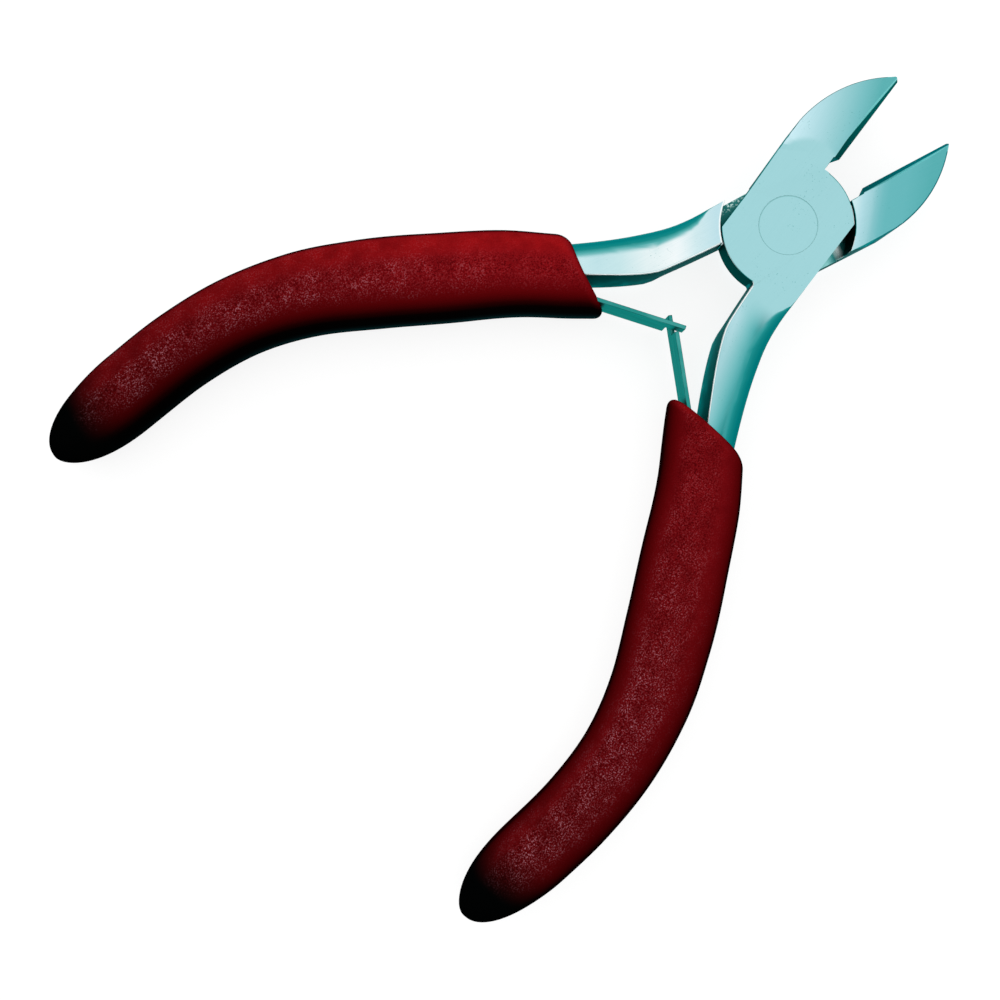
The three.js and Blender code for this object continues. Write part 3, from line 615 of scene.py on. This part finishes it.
def platedSteel(name):
    own = {**steelSettings, **steelPieces[name]}
    material, tree = newMaterial(f"nickel_plated_steel_ground_{name}")
    place, facing = surfaceSpot(tree)
    spot = addNode(tree, "SeparateXYZ", {0: place})
    normal = addNode(tree, "SeparateXYZ", {0: facing})
    flatPlace = addNode(tree, "VectorMath", {0: place, 1: (1, 1, 0)}, operation="MULTIPLY")
    radius = addNode(tree, "VectorMath", {0: flatPlace}, operation="LENGTH")
    level = addNode(tree, "Math", {0: normal.outputs["Z"]}, operation="ABSOLUTE")
    lean = addNode(tree, "Math", {0: level}, operation="ARCCOSINE")
    turn = addNode(tree, "Math", {0: lean, 1: 2 / math.pi}, operation="MULTIPLY")
    below = addNode(tree, "Math", {0: spot.outputs["Z"], 1: own["visible"]}, operation="SUBTRACT")
    depth = addNode(tree, "Math", {0: below}, operation="ABSOLUTE")
    jawSide = addNode(tree, "MapRange", {0: spot.outputs["X"]}, own["jawRun"])

    # the ground faces: each layer paints a reflection, a highlight or shade where its mask lets it, in one colour
    # or in a sweep of them, and is the same at any depth, so it is scaled far out in z
    color = own["base"]
    for layer in own["layers"]:
        mapped = addNode(tree, "Mapping", {
            "Vector": place, "Location": (*layer["at"], 0),
            "Rotation": (0, 0, math.radians(layer.get("turn", 0))), "Scale": (*layer["size"], farOut),
        }, vector_type="TEXTURE")
        fade = addNode(tree, "TexGradient", {0: mapped}, gradient_type=layer["form"])
        mask = addNode(tree, "MapRange", {0: fade.outputs["Fac"]}, layer["fade"],
                       interpolation_type="SMOOTHSTEP")
        if "sweep" in layer:
            sweep = layer["sweep"]
            run = addNode(tree, "Mapping", {
                "Vector": place, "Location": (*sweep["at"], 0),
                "Rotation": (0, 0, math.radians(sweep["turn"])), "Scale": (sweep["length"], 1, 1),
            }, vector_type="TEXTURE")
            share = addNode(tree, "TexGradient", {0: run}, gradient_type="LINEAR")
            over = addNode(tree, "ValToRGB", {0: share.outputs["Fac"]}, stops=sweep["stops"])
        else:
            over = layer["color"]
        color = addNode(tree, "Mix", {0: mask, 6: color, 7: over}, data_type="RGBA")

    # grinding lines across the faces and specks where the plating is pitted
    grind = addNode(tree, "Mapping", {
        "Vector": place, "Rotation": (0, 0, own["grindTurn"]),
        "Scale": (1 / own["grindLength"], 1 / own["grindWidth"], 1),
    })
    lines = addNode(tree, "TexNoise", {"Vector": grind, "Scale": 1, "Detail": 3})
    linesHere = addNode(tree, "MapRange", {0: lines}, own["grindSpan"])
    lined = addNode(tree, "Mix", {0: linesHere, 6: color, 7: own["grindColor"]}, data_type="RGBA")
    specks = addNode(tree, "TexNoise", {"Vector": place, "Scale": 1 / own["speckSize"], "Detail": 2})
    patches = addNode(tree, "TexNoise", {"Vector": place, "Scale": 1 / own["patchSize"], "Detail": 1})
    speckMask = addNode(tree, "MapRange", {0: specks}, own["speckSpan"])
    patchMask = addNode(tree, "MapRange", {0: patches}, own["patchSpan"])
    speckHere = addNode(tree, "Math", {0: speckMask, 1: patchMask}, operation="MULTIPLY")
    specked = addNode(tree, "Mix", {0: speckHere, 6: lined, 7: own["speckColor"]}, data_type="RGBA")

    # painted shade round the edges, by how far the surface turns off the face: on the handle it comes in
    # gradually, on the jaw only at its bevel and edges
    handleTurn = addNode(tree, "ValToRGB", {0: turn}, stops=own["handleTurn"])
    edgeColor = addNode(tree, "Mix", {0: jawSide, 6: handleTurn, 7: own["jawTurn"]}, data_type="RGBA")
    # a painted highlight line along the top of the jaw's bevel
    if "bevelHighlight" in own:
        line = own["bevelHighlight"]
        across = addNode(tree, "Mapping", {
            "Vector": place, "Location": (*line["at"], 0),
            "Rotation": (0, 0, math.radians(line["turn"])), "Scale": (own["bevelFade"], 1, 1),
        }, vector_type="TEXTURE")
        above = addNode(tree, "TexGradient", {0: across}, gradient_type="LINEAR")
        faceSide = 1 if own["visible"] else -1
        faceUp = addNode(tree, "Math", {0: normal.outputs["Z"], 1: faceSide}, operation="MULTIPLY")
        onFace = addNode(tree, "MapRange", {0: faceUp}, own["bevelFacing"])
        nearBevel = addNode(tree, "Math", {0: spot.outputs["Y"]}, own["bevelBand"], operation="COMPARE")
        bevelHighlightHere = above.outputs["Fac"]
        for mask in (nearBevel, onFace, jawSide):
            bevelHighlightHere = addNode(tree, "Math", {0: bevelHighlightHere, 1: mask}, operation="MULTIPLY")
        edgeColor = addNode(tree, "Mix", {0: bevelHighlightHere, 6: edgeColor, 7: line["color"]}, data_type="RGBA")
    turnStart = addNode(tree, "MapRange", {0: jawSide}, (0, 1, *own["turnStart"]))
    turnEnd = addNode(tree, "MapRange", {0: jawSide}, (0, 1, *own["turnEnd"]))
    turning = addNode(tree, "MapRange", {0: turn, 1: turnStart, 2: turnEnd}, interpolation_type="SMOOTHSTEP")
    turned = addNode(tree, "Mix", {0: turning, 6: specked, 7: edgeColor}, data_type="RGBA")

    # painted shade down the walls, darkest inside the lap, broken up in lumps like those the forging die leaves
    lumps = addNode(tree, "TexNoise", {"Vector": place, "Scale": 1 / own["lumpSize"], "Detail": 4})
    lumpy = addNode(tree, "MapRange", {0: lumps}, own["lumpSpan"])
    deep = addNode(tree, "MapRange", {0: depth}, (0, headThickness / mm))
    wallAt = addNode(tree, "Math", {0: deep, 1: lumpy}, operation="ADD", use_clamp=True)
    wallColor = addNode(tree, "ValToRGB", {0: wallAt}, stops=own["wallDepth"])
    inLap = addNode(tree, "MapRange", {0: radius}, own["lapSpan"])
    lapWall = addNode(tree, "Mix", {0: inLap, 6: wallColor, 7: own["lapWall"]}, data_type="RGBA")
    pastLap = addNode(tree, "MapRange", {0: spot.outputs["X"]}, own["jawWallRun"])
    wallHere = addNode(tree, "Mix", {0: pastLap, 6: lapWall, 7: own["jawWall"]}, data_type="RGBA")
    onWall = addNode(tree, "MapRange", {0: turn}, own["wallTurn"])
    walled = addNode(tree, "Mix", {0: onWall, 6: turned, 7: wallHere}, data_type="RGBA")

    # painted highlights on edges of the visible side: the handle's inner one, the flat of the disc, or the
    # shoulder
    edgeIn = addNode(tree, "MapRange", {0: turn}, own["edgeIn"])
    edgeOut = addNode(tree, "MapRange", {0: turn}, own["edgeOut"])
    onEdge = addNode(tree, "Math", {0: edgeIn, 1: edgeOut}, operation="MULTIPLY")
    behind = addNode(tree, "MapRange", {0: spot.outputs["X"]}, own["innerEdge"])
    inward = addNode(tree, "MapRange", {0: normal.outputs["Y"]}, own["innerFacing"])
    innerEdge = addNode(tree, "Math", {0: behind, 1: inward}, operation="MULTIPLY")
    beside = addNode(tree, "Math", {0: spot.outputs["X"]}, own["discEdge"], operation="COMPARE")
    outward = addNode(tree, "MapRange", {0: normal.outputs["Y"]}, own["discFacing"])
    discEdge = addNode(tree, "Math", {0: beside, 1: outward}, operation="MULTIPLY")
    eitherEdge = addNode(tree, "Math", {0: innerEdge, 1: discEdge}, operation="MAXIMUM")
    edgeHighlight = addNode(tree, "Math", {0: eitherEdge, 1: onEdge}, operation="MULTIPLY")
    if "shoulderRing" in own:
        ringed = addNode(tree, "MapRange", {0: radius}, own["shoulderRing"])
        onHandle = addNode(tree, "MapRange", {0: spot.outputs["X"]}, own["shoulderRun"])
        shoulder = addNode(tree, "Math", {0: ringed, 1: onHandle}, operation="MULTIPLY")
        edgeHighlight = addNode(tree, "Math", {0: edgeHighlight, 1: shoulder}, operation="MAXIMUM")
    nearFace = addNode(tree, "MapRange", {0: depth}, own["edgeDepth"])
    edgeHighlightHere = addNode(tree, "Math", {0: edgeHighlight, 1: nearFace}, operation="MULTIPLY")
    finished = addNode(tree, "Mix", {0: edgeHighlightHere, 6: walled, 7: own["edgeHighlightColor"]}, data_type="RGBA")

    # the lap's floor with painted shade, a painted highlight stripe and a painted shadow by the shoulder, and
    # bright scale on the handle's side
    if "floor" in own:
        floorAt = addNode(tree, "MapRange", {0: spot.outputs["X"]}, own["floorRun"])
        floorColor = addNode(tree, "ValToRGB", {0: floorAt}, stops=own["floor"])
        grain = addNode(tree, "TexNoise", {"Vector": place, "Scale": 1 / own["scaleSize"], "Detail": 3})
        scale = addNode(tree, "MapRange", {0: grain}, own["scaleSpan"])
        outerSide = addNode(tree, "MapRange", {0: spot.outputs["Y"]}, own["scaleRun"])
        scaleHere = addNode(tree, "Math", {0: scale, 1: outerSide}, operation="MULTIPLY")
        scaled = addNode(tree, "Mix", {0: scaleHere, 6: floorColor, 7: own["scaleColor"]}, data_type="RGBA")
        lapBand = (headThickness / mm / 2, own["floorRoom"])
        atLap = addNode(tree, "Math", {0: spot.outputs["Z"]}, lapBand, operation="COMPARE")
        levelHere = addNode(tree, "MapRange", {0: level}, own["floorLevel"])
        onFloor = addNode(tree, "Math", {0: atLap, 1: levelHere}, operation="MULTIPLY")
        finished = addNode(tree, "Mix", {0: onFloor, 6: finished, 7: scaled}, data_type="RGBA")

    roughSpan = (*own["roughTurn"], own["roughness"], own["wallRoughness"])
    rough = addNode(tree, "MapRange", {0: turn}, roughSpan)
    bump = addNode(tree, "Bump", {
        "Height": lines, "Strength": own["grindStrength"], "Distance": own["grindDepth"] * mm,
    })
    shader = addNode(tree, "BsdfPrincipled", {
        "Base Color": finished, "Metallic": 1, "Roughness": rough, "Specular Tint": own["tint"],
        "Normal": bump,
    })
    addNode(tree, "OutputMaterial", {0: shader})
    return material


for name, piece in {**arms, "rivet": rivet}.items():
    piece.data.materials.append(platedSteel(name))


# Cold-rolled spring steel, tempered: a mid teal temper colour, painted shade as a dark line round its sheared
# corners, and rolling lines along the strip, drawn coarser than real ones so that they show
springSettings = {
    # painted shade: a dark band where the strip turns round its corners
    "turning": [  # from the flat of the strip, which stands upright, over its corner to its edge
        (0.0, "#2F9690"), (0.15, "#2F9690"), (0.4, "#0A4F4C"), (0.8, "#0A4F4C"), (0.97, "#2B8F89"),
        (1.0, "#2B8F89"),
    ],
    "tint": "#3EB3AE", "roughness": 0.35,
    "rollLength": 5, "rollWidth": 0.4, "rollDepth": 0.02, "rollStrength": 0.1,  # mm, and the bump's share
    "streak": "#62BAB4", "streakSpan": (0.45, 0.75, 0, 0.7),
}


def springSteel():
    material, tree = newMaterial("spring_steel_cold_rolled")
    place, facing = surfaceSpot(tree)
    normal = addNode(tree, "SeparateXYZ", {0: facing})
    level = addNode(tree, "Math", {0: normal.outputs["Z"]}, operation="ABSOLUTE")
    turning = addNode(tree, "ValToRGB", {0: level}, stops=springSettings["turning"])
    perLength, perWidth = 1 / springSettings["rollLength"], 1 / springSettings["rollWidth"]
    rolled = addNode(tree, "Mapping", {"Vector": place, "Scale": (perLength, perLength, perWidth)})
    lines = addNode(tree, "TexNoise", {"Vector": rolled, "Scale": 1, "Detail": 4})
    streaks = addNode(tree, "MapRange", {0: lines}, springSettings["streakSpan"])
    lined = addNode(tree, "Mix", {0: streaks, 6: turning, 7: springSettings["streak"]}, data_type="RGBA")
    bump = addNode(tree, "Bump", {
        "Height": lines, "Strength": springSettings["rollStrength"],
        "Distance": springSettings["rollDepth"] * mm,
    })
    shader = addNode(tree, "BsdfPrincipled", {
        "Base Color": lined, "Metallic": 1, "Roughness": springSettings["roughness"],
        "Specular Tint": springSettings["tint"], "Normal": bump,
    })
    addNode(tree, "OutputMaterial", {0: shader})
    return material


springMaterial = springSteel()
for half, spring in springs.items():
    spring.data.materials.append(springMaterial)
    leafRivet = frame["nodes"][f"{half}_leaf_rivet"]
    leafRivet.data.materials.clear()
    leafRivet.data.materials.append(springMaterial)


# Soft PVC, dipped over the handle and dusted to a fine pebble: dark red with painted pinkish glints in patches
# along its crest, painted light and shade that falls off fast to black on the flank turned from the window,
# and painted shade that turns the closed end black
gripLook = {
    "window": (0.65, 0.76), "windowTilt": 35,  # across the tool, and degrees off straight above
    "facingSpan": (-0.6, 1),
    # painted light and shade, with a painted teal reflection where it is turned furthest away
    "turning": [  # by how squarely the surface faces the window, from turned away to square on
        (0.02, "#0A3033"), (0.09, "#061618"), (0.18, "#030505"), (0.3, "#050303"), (0.375, "#0B0202"),
        (0.494, "#2C0203"), (0.65, "#5A0408"), (0.75, "#6B060B"), (0.825, "#7B0B11"), (0.8875, "#8B1016"),
        (0.945, "#911117"), (1.0, "#961014"),
    ],
    "litSpan": (0.68, 0.9), "litSideSpan": (0.34, 0.49),  # where the grain shows, and which flank is lit
    "mottle": 2.2, "mottleSpan": (0.4, 0.7, 0, 0.45), "shade": "#5A060B",  # size in mm
    "pebble": 0.18, "pebbleDepth": 0.12, "pebbleStrength": 0.5,  # mm, and the bump's share
    "crest": (0.86, 0.985, 0.2, 1), "crestLean": 14,  # how level it is there, and degrees towards the inside
    "pitSpan": (0.38, 0.5, 0.7, 0), "pit": "#3A0206",
    # painted glints where the pebble catches the light on the crest, and their colour
    "glintSpan": (0.54, 0.7, 0, 0.7), "glint": "#B27C88",
    "glintPatch": (0.4, 0.58, 1, 0.25),  # thick where the mottle is light
    "glintRun": (-55, -30, 1, 0.25),  # mm, thick towards the tail
    # painted shade: a dark edge on the lit flank
    "rim": (0.19, 0.44, 1, 0), "rimShade": "#090304",  # dark edge of the lit flank, by how level it is
    "tone": {  # how much darker each is from its tail to its mouth, mm
        "front": (-76, -34, 0.56, 0.24), "back": (-76, -34, 0.55, 0),
    },
    "black": "#000000", "end": "#020303",
    # painted shade at the closed end
    "endShade": (5, 12.5),  # mm from the closed end, where it is black and where the red is back
    "roughness": 0.8, "ior": 1.53,
}


def dippedPvc(half):
    material, tree = newMaterial(f"soft_pvc_dipped_{half}")
    place, facing = surfaceSpot(tree)
    spot = addNode(tree, "SeparateXYZ", {0: place})
    mirrored = addNode(tree, "VectorMath", {0: facing}, operation="ABSOLUTE")  # its back is as its front
    level = addNode(tree, "SeparateXYZ", {0: mirrored})
    mottle = addNode(tree, "TexNoise", {"Vector": place, "Scale": 1 / gripLook["mottle"], "Detail": 4})
    pebble = addNode(tree, "TexNoise", {
        "Vector": place, "Scale": 1 / gripLook["pebble"], "Detail": 2, "Roughness": 0.6,
    })

    # painted light and shade by how squarely it faces the window
    tilt = math.radians(gripLook["windowTilt"])
    window = Vector((*gripLook["window"], 0)).normalized()
    across = shutFrames[half].inverted().to_3x3() @ window * math.sin(tilt)
    crown = addNode(tree, "Math", {0: level.outputs["Z"], 1: math.cos(tilt)}, operation="MULTIPLY")
    flank = addNode(tree, "VectorMath", {0: facing, 1: across}, operation="DOT_PRODUCT")
    towards = addNode(tree, "Math", {0: crown, 1: flank}, operation="ADD")
    lit = addNode(tree, "MapRange", {0: towards}, gripLook["facingSpan"])
    turning = addNode(tree, "ValToRGB", {0: lit}, stops=gripLook["turning"])
    litHere = addNode(tree, "MapRange", {0: lit}, gripLook["litSpan"])
    mottleShare = addNode(tree, "MapRange", {0: mottle}, gripLook["mottleSpan"])
    mottleHere = addNode(tree, "Math", {0: mottleShare, 1: litHere}, operation="MULTIPLY")
    mottled = addNode(tree, "Mix", {0: mottleHere, 6: turning, 7: gripLook["shade"]}, data_type="RGBA")

    # pits along the crest, which leans towards the other handle, and painted shade as a dark edge on the lit flank
    lean = math.radians(gripLook["crestLean"])
    inward = addNode(tree, "VectorMath", {0: facing, 1: (0, math.sin(lean), 0)}, operation="DOT_PRODUCT")
    upward = addNode(tree, "Math", {0: level.outputs["Z"], 1: math.cos(lean)}, operation="MULTIPLY")
    squareOn = addNode(tree, "Math", {0: inward, 1: upward}, operation="ADD")
    crest = addNode(tree, "MapRange", {0: squareOn}, gripLook["crest"], interpolation_type="SMOOTHSTEP")
    onCrest = addNode(tree, "Math", {0: crest, 1: litHere}, operation="MULTIPLY")
    pit = addNode(tree, "MapRange", {0: pebble}, gripLook["pitSpan"])
    pitHere = addNode(tree, "Math", {0: pit, 1: onCrest}, operation="MULTIPLY")
    pitted = addNode(tree, "Mix", {0: pitHere, 6: mottled, 7: gripLook["pit"]}, data_type="RGBA")
    rimLevel = addNode(tree, "Math", {0: level.outputs["Z"], 1: inward}, operation="ADD")
    rim = addNode(tree, "MapRange", {0: rimLevel}, gripLook["rim"], interpolation_type="SMOOTHSTEP")
    litSide = addNode(tree, "MapRange", {0: lit}, gripLook["litSideSpan"])
    rimHere = addNode(tree, "Math", {0: rim, 1: litSide}, operation="MULTIPLY")
    rimmed = addNode(tree, "Mix", {0: rimHere, 6: pitted, 7: gripLook["rimShade"]}, data_type="RGBA")

    # darker towards the tail, with the painted glints over that, and painted shade that blackens the closed end
    tone = addNode(tree, "MapRange", {0: spot.outputs["X"]}, gripLook["tone"][half])
    toned = addNode(tree, "Mix", {0: tone, 6: rimmed, 7: gripLook["black"]}, data_type="RGBA")
    glintHere = addNode(tree, "MapRange", {0: pebble}, gripLook["glintSpan"])
    glintPatch = addNode(tree, "MapRange", {0: mottle}, gripLook["glintPatch"])
    glintRun = addNode(tree, "MapRange", {0: spot.outputs["X"]}, gripLook["glintRun"])
    for mask in (glintPatch, glintRun, onCrest):
        glintHere = addNode(tree, "Math", {0: glintHere, 1: mask}, operation="MULTIPLY")
    glinted = addNode(tree, "Mix", {0: glintHere, 6: toned, 7: gripLook["glint"]}, data_type="RGBA")
    # painted shade: the closed end turns black
    endX = gripSettings[half]["endX"]
    endSpan = (*(endX + off for off in gripLook["endShade"]), 1, 0)
    end = addNode(tree, "MapRange", {0: spot.outputs["X"]}, endSpan, interpolation_type="SMOOTHSTEP")
    ended = addNode(tree, "Mix", {0: end, 6: glinted, 7: gripLook["end"]}, data_type="RGBA")
    bump = addNode(tree, "Bump", {
        "Height": pebble, "Strength": gripLook["pebbleStrength"], "Distance": gripLook["pebbleDepth"] * mm,
    })
    shader = addNode(tree, "BsdfPrincipled", {
        "Base Color": ended, "Roughness": gripLook["roughness"], "IOR": gripLook["ior"],
        "Specular IOR Level": 0, "Normal": bump,
    })
    addNode(tree, "OutputMaterial", {0: shader})
    return material


for half, grip in grips.items():
    grip.data.materials.clear()
    grip.data.materials.append(dippedPvc(half))
print("materials:", sorted(m.name for m in bpy.data.materials if m.users))


# Stage: a white sweep, an overcast studio and a camera straight over the tool
stageSettings = {
    "floorSize": 3, "floorGap": 0.02,  # m, and mm under the tool
    "paper": "#E4E4E4", "paperSeen": [0.24, 0.24, 0.24, 1], "glow": 0.84,
    "window": (0.37, 0.43, 0.82), "windowSpan": (0, 0.85),  # the brightest part of the sky
    "zenith": 1.25, "horizon": 0.35,
    "white": [1, 1, 1, 1],
}


def seenAsGround(tree):  # by the camera, in a reflection or through something clear
    path = addNode(tree, "LightPath")
    seen = path.outputs["Is Camera Ray"]
    for ray in ("Is Glossy Ray", "Is Transmission Ray"):
        seen = addNode(tree, "Math", {0: seen, 1: path.outputs[ray]}, operation="MAXIMUM")
    return seen


floorMesh = bpy.data.meshes.new("floor")
floorZ = cadBox[0].z - stageSettings["floorGap"] * mm
reach = stageSettings["floorSize"] / 2
floorMesh.from_pydata([(-reach, -reach, floorZ), (reach, -reach, floorZ), (reach, reach, floorZ),
                       (-reach, reach, floorZ)], [], [(0, 1, 2, 3)])
floor = bpy.data.objects.new("floor", floorMesh)
scene.collection.objects.link(floor)

floorMaterial, tree = newMaterial("white_paper_sweep")
paper = addNode(tree, "BsdfDiffuse", {"Color": stageSettings["paper"]})
paperSeen = addNode(tree, "BsdfDiffuse", {"Color": stageSettings["paperSeen"]})
glow = addNode(tree, "Emission", {"Color": stageSettings["white"], "Strength": stageSettings["glow"]})
whitePaper = addNode(tree, "AddShader", {0: paperSeen, 1: glow})
either = addNode(tree, "MixShader", {0: seenAsGround(tree), 1: paper, 2: whitePaper})
addNode(tree, "OutputMaterial", {0: either})
floorMesh.materials.append(floorMaterial)

world = bpy.data.worlds.new("overcast_studio")
scene.world = world
world.use_nodes = True
tree = world.node_tree
tree.nodes.clear()
direction = addNode(tree, "TexCoord")
window = Vector(stageSettings["window"]).normalized()
towards = addNode(tree, "VectorMath", {0: direction.outputs["Generated"], 1: window}, operation="DOT_PRODUCT")
skySpan = (*stageSettings["windowSpan"], stageSettings["horizon"], stageSettings["zenith"])
sky = addNode(tree, "MapRange", {0: towards}, skySpan, interpolation_type="SMOOTHSTEP")
strength = addNode(tree, "Mix", {0: seenAsGround(tree), 2: sky, 3: 1}, data_type="FLOAT")
background = addNode(tree, "Background", {"Color": stageSettings["white"], "Strength": strength})
addNode(tree, "OutputWorld", {0: background})

cameraSettings = {
    "over": (-48.1, -2.55), "height": 153, "clipStart": 5,  # mm, in the tool's frame
    "right": (0.7593, -0.6508),
    "lens": 43.17, "sensor": 36,
}
camera = bpy.data.objects.new("camera", bpy.data.cameras.new("camera"))
scene.collection.objects.link(camera)
right = Vector((*cameraSettings["right"], 0)).normalized()
back = Vector((0, 0, 1))
up = back.cross(right)
stand = Vector((*cameraSettings["over"], cameraSettings["height"])) * mm
camera.matrix_world = Matrix.Translation(stand) @ Matrix((right, up, back)).transposed().to_4x4()
camera.data.lens = cameraSettings["lens"]
camera.data.sensor_width = cameraSettings["sensor"]
camera.data.clip_start = cameraSettings["clipStart"] * mm
scene.camera = camera
scene.view_settings.view_transform = "Standard"
print("stage and camera set")
